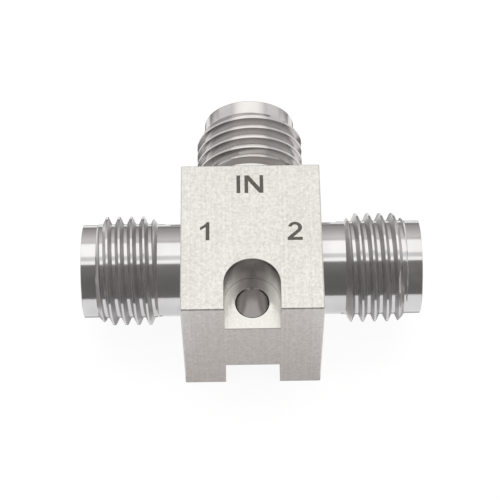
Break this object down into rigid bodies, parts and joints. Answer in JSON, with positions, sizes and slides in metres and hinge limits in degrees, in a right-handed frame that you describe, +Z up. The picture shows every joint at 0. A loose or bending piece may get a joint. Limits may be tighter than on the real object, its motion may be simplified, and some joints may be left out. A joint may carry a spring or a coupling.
{
  "type": "rf power splitter",
  "caption": "Steel block RF power splitter with threaded coaxial sockets at both sides and the back, and a screw hole through its pocketed front ear.",
  "frame": {"origin": "on the base, below the point where the three port axes cross", "axes": "+X along the side ports towards port 2, +Y out of the input port, +Z up, out of the screw hole"},
  "size_m": [0.0196, 0.0154, 0.009],
  "materials": {
    "block_steel": "satin",
    "turned_steel": "gloss",
    "bead_polymer": "satin",
    "gold_plate": "gloss",
    "resistor_film": "matte",
    "silver_plate": "satin"
  },
  "bodies": {
    "root": {"body": "block_steel", "port_in_shell": "turned_steel", "port_1_shell": "turned_steel", "port_2_shell": "turned_steel", "port_in_bead": "bead_polymer", "port_1_bead": "bead_polymer", "port_2_bead": "bead_polymer", "port_in_bush": "turned_steel", "port_1_bush": "turned_steel", "port_2_bush": "turned_steel", "port_in_contact": "gold_plate", "port_1_contact": "gold_plate", "port_2_contact": "gold_plate", "junction": "gold_plate", "resistor_1_rod": "resistor_film", "resistor_2_rod": "resistor_film", "resistor_1_inner_cap": "silver_plate", "resistor_2_inner_cap": "silver_plate", "resistor_1_outer_cap": "silver_plate", "resistor_2_outer_cap": "silver_plate"}
  },
  "joints": []
}
